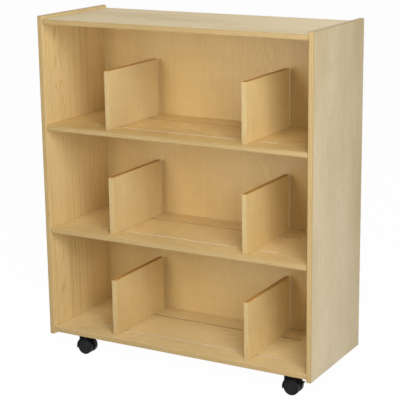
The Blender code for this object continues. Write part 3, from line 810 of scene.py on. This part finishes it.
class BOOKCART_OT_dividers(bpy.types.Operator):
    """Make the sliding dividers"""

    bl_idname = "bookcart.dividers"
    bl_label = "Dividers"

    def execute(self, context):
        sizes, colours = settings(context)
        lip_tones = (colours.lip_light, colours.lip_dark, colours.ply_dark)
        end_tones = (colours.end_light, colours.end_dark, colours.end_dark)
        for side in SIDES:
            for level in LEVELS:
                node = f"divider_{level}_{side}"
                low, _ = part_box(node)
                finishes = [
                    birch_face(node, colours),
                    birch_edge(f"birch_edge_{node}", lip_tones, 0, low.x, sizes.ply),
                    birch_edge(f"birch_end_{node}", end_tones, 0, low.x, sizes.ply),
                ]
                name = node.replace("divider", "board_divider")
                publish(name, self.board(sizes, level, side), finishes, node, [node], True)
        return {"FINISHED"}

    def board(self, sizes, level, side):
        """A divider, eased above its foot and bored for its guide screws."""
        low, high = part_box(f"divider_{level}_{side}")
        foot = low.z + sizes.fit_gap
        board = ease(block(low, high), sizes.divider_round, 5, lambda middle: middle.z > foot)
        bores = []
        for row in ENDS:
            screw = f"guide_screw_{level}_{side}_{row}"
            place, top = centre_of(screw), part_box(screw)[1].z + sizes.fit_gap
            bore = rod(sizes.guide_radius + sizes.fit_gap, low.z - OVERCUT, top, BORE_FACETS)
            bores.append(moved(bore, (place.x, place.y, 0.0)))
        board = show_edges(cut_away(board, bores), 0)
        for face in board.faces:
            if face.normal.z > LOOKS_UP:
                face.material_index = 2
        return board


def cross_cut(head_radius, depth, top):
    """Two crossed slits for a driver, on both sides of z = top."""
    long, wide = head_radius * DRIVE_LENGTH, head_radius * DRIVE_WIDTH
    return [
        block((-long, -wide, top - depth), (long, wide, top + depth)),
        block((-wide, -long, top - depth), (wide, long, top + depth)),
    ]


def corners_of(plate):
    """Where a caster plate's screws stand, in x and y."""
    centre = centre_of(plate)
    return [(centre.x + x * PLATE_SCREW_REACH, centre.y + y * PLATE_SCREW_REACH) for x, y in PLATE_CORNERS]


class BOOKCART_OT_screws(bpy.types.Operator):
    """Make the guide screws with their washers, and the screws of the caster plates"""

    bl_idname = "bookcart.screws"
    bl_label = "Screws"

    def execute(self, context):
        sizes, colours = settings(context)
        zinc = zinc_plate("zinc_screws", colours.zinc)
        for level in LEVELS:
            shelf_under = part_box(f"{level}_shelf")[0].z
            for side in SIDES:
                for row in ENDS:
                    node = f"guide_screw_{level}_{side}_{row}"
                    name = node.replace("guide", "turned_guide")
                    screw = self.guide(sizes, node, shelf_under)
                    publish(name, screw, [zinc], BODY_OF[node], [node])
        for end, side in CASTERS:
            plate = f"caster_{end}_{side}_plate"
            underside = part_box(plate)[1].z - PLATE_THICKNESS
            for number, corner in enumerate(corners_of(plate)):
                screw = moved(self.plate_screw(number), (*corner, underside))
                publish(f"plate_screw_{end}_{side}_{number}", screw, [zinc], "cabinet")
        for node, item in frame["nodes"].items():
            if node.startswith("side_screw") or node.endswith("_axle"):
                refinish(item, zinc)
        return {"FINISHED"}

    def guide(self, sizes, node, shelf_under):
        """A pan-headed screw and washer whose shank goes up through the slot."""
        low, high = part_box(node)
        place = centre_of(node)
        shank, head, washer = sizes.guide_radius, GUIDE_HEAD, (high.x - low.x) / 2
        top = shelf_under - sizes.fit_gap
        under = top - WASHER
        profile = [
            (0.0, high.z), (shank, high.z), (shank, top), (washer, top), (washer, under), (head, under),
            (head, (under + low.z) / 2), (head * GUIDE_FLAT, low.z + GUIDE_CROWN), (0.0, low.z),
        ]
        screw = cut_away(turned(profile, GUIDE_FACETS), cross_cut(head, GUIDE_DRIVE, low.z))
        return moved(screw, (place.x, place.y, 0.0))

    def plate_screw(self, number):
        """A pan-headed wood screw, turned as it happened to be driven."""
        screw = cut_away(turned(PLATE_SCREW, PIN_FACETS), cross_cut(*PLATE_SCREW_DRIVE))
        turn = Matrix.Rotation(math.radians(SCREW_TURN + SCREW_TURN_STEP * number), 4, "Z")
        return moved(screw, (0, 0, 0), turn)


class BOOKCART_OT_casters(bpy.types.Operator):
    """Make the plates, hoods, twin wheels and brake levers of the casters"""

    bl_idname = "bookcart.casters"
    bl_label = "Casters"

    def execute(self, context):
        sizes, colours = settings(context)
        nylon = moulded("hood_nylon", colours.nylon, roughness=0.42, gloss=0.10, grain=0.00003)
        wheel_nylon = moulded("wheel_nylon", colours.wheel, roughness=0.40, gloss=0.16, grain=0.00002)
        zinc = zinc_plate("zinc_plates", colours.zinc)
        for end, side in CASTERS:
            name = f"caster_{end}_{side}"
            front_low, front_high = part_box(f"{name}_wheel_front")
            rear_low, rear_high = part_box(f"{name}_wheel_rear")
            radius, width = (front_high.x - front_low.x) / 2, front_high.y - front_low.y
            middle = (front_low.x + front_high.x) / 2
            axle = Vector((middle, (front_low.y + rear_high.y) / 2, radius))
            lever_node = f"{name}_brake_lever"
            braked = lever_node in frame["nodes"]
            hood = moved(self.hood(sizes, name, axle, radius, braked), axle)
            publish(f"hood_{end}_{side}", hood, [nylon], name, [f"{name}_hood"])
            for row, toward in ENDS.items():
                inner = front_high.y if toward < 0 else rear_low.y
                wheel = lying(self.wheel(sizes, radius, width), (axle.x, inner, axle.z), "y", toward)
                node = f"{name}_wheel_{row}"
                publish(f"wheel_{end}_{side}_{row}", wheel, [wheel_nylon], node, [node])
            plate = self.plate(sizes, f"{name}_plate")
            publish(f"plate_{end}_{side}", plate, [zinc], "cabinet", [f"{name}_plate"], True)
            if braked:
                lever = moved(self.lever(sizes, radius), axle)
                publish(f"lever_{end}_{side}", lever, [nylon], lever_node, [lever_node])
        return {"FINISHED"}

    def ring_sector(self, inner, outer, start, stop, low, high, steps):
        """Part of a ring round the y axis, between two angles and two places along y."""
        outline = arc(outer, start, stop, steps) + arc(inner, stop, start, steps)
        return upright(prism(outline, -high, -low))

    def hinge(self, sizes, radius):
        """Where the brake lever's hinge bar lies, seen from the axle."""
        x, z = point_at(radius + sizes.hood_gap + sizes.hood_wall / 2, HINGE_PLACE)
        return (x, 0.0, z)

    def hood(self, sizes, name, axle, radius, braked):
        """The hood round the axle: roof, web, hub and a bored post for the kingpin."""
        plate_low, plate_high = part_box(f"{name}_plate")
        pin = ((plate_low.x + plate_high.x) / 2 - axle.x, 0.0, 0.0)
        pin_end = plate_low.z - axle.z
        boss_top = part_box(f"{name}_hood")[1].z - axle.z
        gap = sizes.fit_gap

        def king_bore():
            bore = rod(sizes.pin_radius + gap, pin_end - gap, boss_top + OVERCUT, PIN_FACETS)
            return moved(bore, pin)

        inner = radius + sizes.hood_gap
        outer = inner + sizes.hood_wall
        half, web = sizes.hood_half_width, sizes.web / 2
        mouth = sizes.lever_width / 2 + gap
        hinge = self.hinge(sizes, radius)
        roofs = [(HOOD_TRAIL, HOOD_LEAD, -half, half, ROOF_STEPS)]
        rooms = [king_bore()]
        if braked:
            cheek_end = NOTCH_START + NOTCH_LAP
            roofs = [
                (NOTCH_START, HOOD_LEAD, -half, half, NOTCHED_STEPS),
                (HOOD_TRAIL, cheek_end, mouth, half, CHEEK_STEPS),
                (HOOD_TRAIL, cheek_end, -half, -mouth, CHEEK_STEPS),
            ]
            room = rod(BARREL_RADIUS + 2 * gap, -sizes.web, sizes.web, PIN_FACETS)
            rooms.append(lying(room, hinge, "y"))
        parts = []
        for roof in roofs:
            shell = soften(self.ring_sector(inner, outer, *roof), HOOD_EASE, 3, 40.0)
            parts.append(cut_away(shell, [king_bore()]))
        sheet = self.ring_sector(WEB_CORE, inner + WEB_LAP, WEB_TRAIL, WEB_LEAD, -web, web, WEB_STEPS)
        parts.append(cut_away(sheet, rooms))
        hub = soften(rod(HUB_RADIUS, -web, web, POST_FACETS), HUB_EASE, 2)
        hub = cut_away(hub, [rod(sizes.axle_radius + gap, -2 * web, 2 * web, PIN_FACETS)])
        parts.append(lying(hub, (0, 0, 0), "y"))
        post = moved(soften(rod(sizes.boss_radius, 0.0, boss_top, POST_FACETS), BOSS_EASE, 2), pin)
        floor = web - WELL_LAP
        wells = []
        for toward in ENDS.values():
            well = rod(inner + WELL_ROOM, 0.0, half + WELL_REACH - floor, WELL_FACETS)
            wells.append(lying(well, (0.0, toward * floor, 0.0), "y", toward))
        parts.append(cut_away(post, [*wells, king_bore()]))
        if braked:
            reach = mouth + HINGE_BITE
            parts.append(lying(rod(sizes.hinge_radius, -reach, reach, BORE_FACETS), hinge, "y"))
        return joined(*parts)

    def wheel(self, sizes, radius, width):
        """A wheel turned about Z: inner face at z = 0, capped outer face up."""
        bore, cap = WHEEL_BORE, width - WHEEL_CAP
        profile = [(share * radius, width - depth) for share, depth in WHEEL_FACE]
        profile += [(radius, TREAD_RISE), (radius - TREAD_SLOPE, 0.0)]
        profile += [(bore, 0.0), (bore, cap), (0.0, cap)]
        return turned(profile, sizes.wheel_facets)

    def plate(self, sizes, node):
        """The top plate with its corner radii, screw holes and kingpin."""
        low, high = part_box(node)
        centre = centre_of(node)
        thick = PLATE_THICKNESS
        sheet = block((low.x, low.y, high.z - thick), high)
        middle = high.z - thick / 2
        ease(sheet, PLATE_CORNER, 6, lambda place: abs(place.z - middle) < thick / 4)
        soften(sheet, PLATE_EASE, 2, 60.0)
        holes = []
        for corner in corners_of(node):
            hole = rod(PLATE_HOLE, high.z - 2 * thick, high.z + thick, BORE_FACETS)
            holes.append(moved(hole, (*corner, 0.0)))
        pin = rod(sizes.pin_radius, low.z, middle, PIN_FACETS)
        return joined(cut_away(sheet, holes), moved(pin, (centre.x, centre.y, 0.0)))

    def lever(self, sizes, radius):
        """The brake lever round the axle: a shoe over the treads, a bored barrel and a ribbed tab."""
        thick, half = LEVER_THICKNESS, sizes.lever_width / 2
        inner = radius + LEVER_GAP
        outer = inner + thick
        root_x, root_z = point_at(inner, SHOE_END)
        tip = root_x + LEVER_TAB
        shoulder = math.degrees(math.asin((root_z + thick) / outer))
        outline = arc(outer, HINGE_PLACE, shoulder, PEDAL_STEPS)
        outline += arc(thick / 2, 90.0, -90.0, TIP_STEPS, (tip - thick / 2, root_z + thick / 2))
        outline += arc(inner, SHOE_END, HINGE_PLACE, PEDAL_STEPS)
        pedal = soften(upright(prism(outline, -half, half)), LEVER_EASE, 2, 50.0)
        hinge = self.hinge(sizes, radius)
        barrel = soften(rod(BARREL_RADIUS, -half, half, PIN_FACETS), BARREL_EASE, 2)
        parts = []
        for part in (pedal, lying(barrel, hinge, "y")):
            bore = rod(sizes.hinge_radius + sizes.fit_gap, -2 * half, 2 * half, BORE_FACETS)
            parts.append(cut_away(part, [lying(bore, hinge, "y")]))
        reach = half - RIB_INSET
        for number in range(1, RIBS + 1):
            rib = rod(RIB_RADIUS, -reach, reach, RIB_FACETS)
            parts.append(lying(rib, (tip - number * RIB_PITCH, 0.0, root_z + thick), "y"))
        return joined(*parts)


class BOOKCART_OT_stage(bpy.types.Operator):
    """Lay the floor, hang the lamps and set up the camera"""

    bl_idname = "bookcart.stage"
    bl_label = "Studio"

    def execute(self, context):
        scene, studio = context.scene, context.scene.cart_studio
        scene.view_settings.view_transform = "Standard"
        shape = bmesh.new()
        bmesh.ops.create_grid(shape, x_segments=1, y_segments=1, size=FLOOR_SIZE)
        floor = put("floor", settled("floor", shape))
        floor.data.materials.append(self.floor_finish(scene.cart_colours.floor, studio.floor_white))
        for name, (way, size) in LAMPS.items():
            self.lamp(f"{name}_lamp", way, size, getattr(studio, f"{name}_power"))
        self.sky(scene, studio.sky)
        view = bpy.data.cameras.new("camera")
        view.sensor_width, view.lens, view.clip_end = SENSOR_WIDTH, studio.lens, VIEW_DEPTH
        view.shift_x, view.shift_y = studio.shift
        scene.camera = put("camera", view)
        scene.camera.location = studio.camera_place
        scene.camera.rotation_euler = Euler(studio.camera_turn)
        return {"FINISHED"}

    def lamp(self, name, way, size, watts):
        """A soft lamp aimed at the cart's middle, placed as the table of lamps says."""
        data = bpy.data.lights.new(name, "AREA")
        data.shape = "RECTANGLE"
        data.size, data.size_y = size
        data.energy = watts
        turn, rise, distance = math.radians(way[0]), math.radians(way[1]), way[2]
        toward = Vector((math.sin(turn) * math.cos(rise), -math.cos(turn) * math.cos(rise), math.sin(rise)))
        lamp = put(name, data)
        lamp.location = CART_MIDDLE + distance * toward
        lamp.rotation_euler = toward.to_track_quat("Z", "Y").to_euler()

    def seen_directly(self, nodes):
        """1 for rays that show the background: from the camera, a reflection or through glass."""
        path = nodes.add("ShaderNodeLightPath")
        total = path.outputs["Is Camera Ray"]
        for output in ("Is Glossy Ray", "Is Transmission Ray"):
            total = nodes.math("MAXIMUM", total, path.outputs[output])
        return total

    def sky(self, scene, strength):
        """An even light from all round that looks plain white."""
        scene.world = bpy.data.worlds.new("studio")
        scene.world.use_nodes = True
        nodes = Nodes(scene.world.node_tree)
        light = nodes.tree.nodes["Background"].inputs
        nodes.feed(light["Color"], (1.0, 1.0, 1.0))
        nodes.feed(light["Strength"], nodes.span(self.seen_directly(nodes), 0.0, 1.0, strength, 1.0))

    def floor_finish(self, tone, whiteness):
        """Pale floor that is seen as nearly white, so it keeps only part of the shadow."""
        finish = Finish("studio_floor")
        speck = finish.between(finish.noise(finish.place, 30.0), 0.0, 1.0)
        finish.surface(finish.blend(speck, tone, [part * 0.99 for part in tone]), 0.9)
        white = finish.add("ShaderNodeEmission")
        share = finish.math("MULTIPLY", self.seen_directly(finish), whiteness)
        mix = finish.add("ShaderNodeMixShader", Fac=share)
        finish.feed(mix.inputs[1], finish.shader.outputs["BSDF"])
        finish.feed(mix.inputs[2], white.outputs["Emission"])
        finish.feed(finish.tree.nodes["Material Output"].inputs["Surface"], mix.outputs["Shader"])
        return finish.material


OPERATORS = (
    BOOKCART_OT_case, BOOKCART_OT_plugs, BOOKCART_OT_dividers, BOOKCART_OT_screws, BOOKCART_OT_casters,
    BOOKCART_OT_stage,
)


class BOOKCART_PT_panel(bpy.types.Panel):
    """Lists the steps that dress the cart, and its sizes and colours"""

    bl_idname = "BOOKCART_PT_panel"
    bl_label = "Book cart"
    bl_space_type = "VIEW_3D"
    bl_region_type = "UI"
    bl_category = "Book cart"

    def draw(self, context):
        for operator in OPERATORS:
            self.layout.operator(operator.bl_idname)
        for group in GROUPS:
            settings, column = getattr(context.scene, group), self.layout.column()
            for name in settings.bl_rna.properties.keys():
                if name not in ("rna_type", "name"):
                    column.prop(settings, name)


GROUPS = {"cart_sizes": CartSizes, "cart_colours": CartColours, "cart_studio": StudioSettings}
CLASSES = (*GROUPS.values(), *OPERATORS, BOOKCART_PT_panel)


def register():
    for cls in CLASSES:
        bpy.utils.register_class(cls)
    for name, group in GROUPS.items():
        setattr(bpy.types.Scene, name, PointerProperty(type=group))


def unregister():
    for name in GROUPS:
        delattr(bpy.types.Scene, name)
    for cls in reversed(CLASSES):
        bpy.utils.unregister_class(cls)


def main():
    register()
    bpy.ops.bookcart.case()
    bpy.ops.bookcart.plugs()
    bpy.ops.bookcart.dividers()
    bpy.ops.bookcart.screws()
    bpy.ops.bookcart.casters()
    bpy.ops.bookcart.stage()


if __name__ == "__main__":
    main()
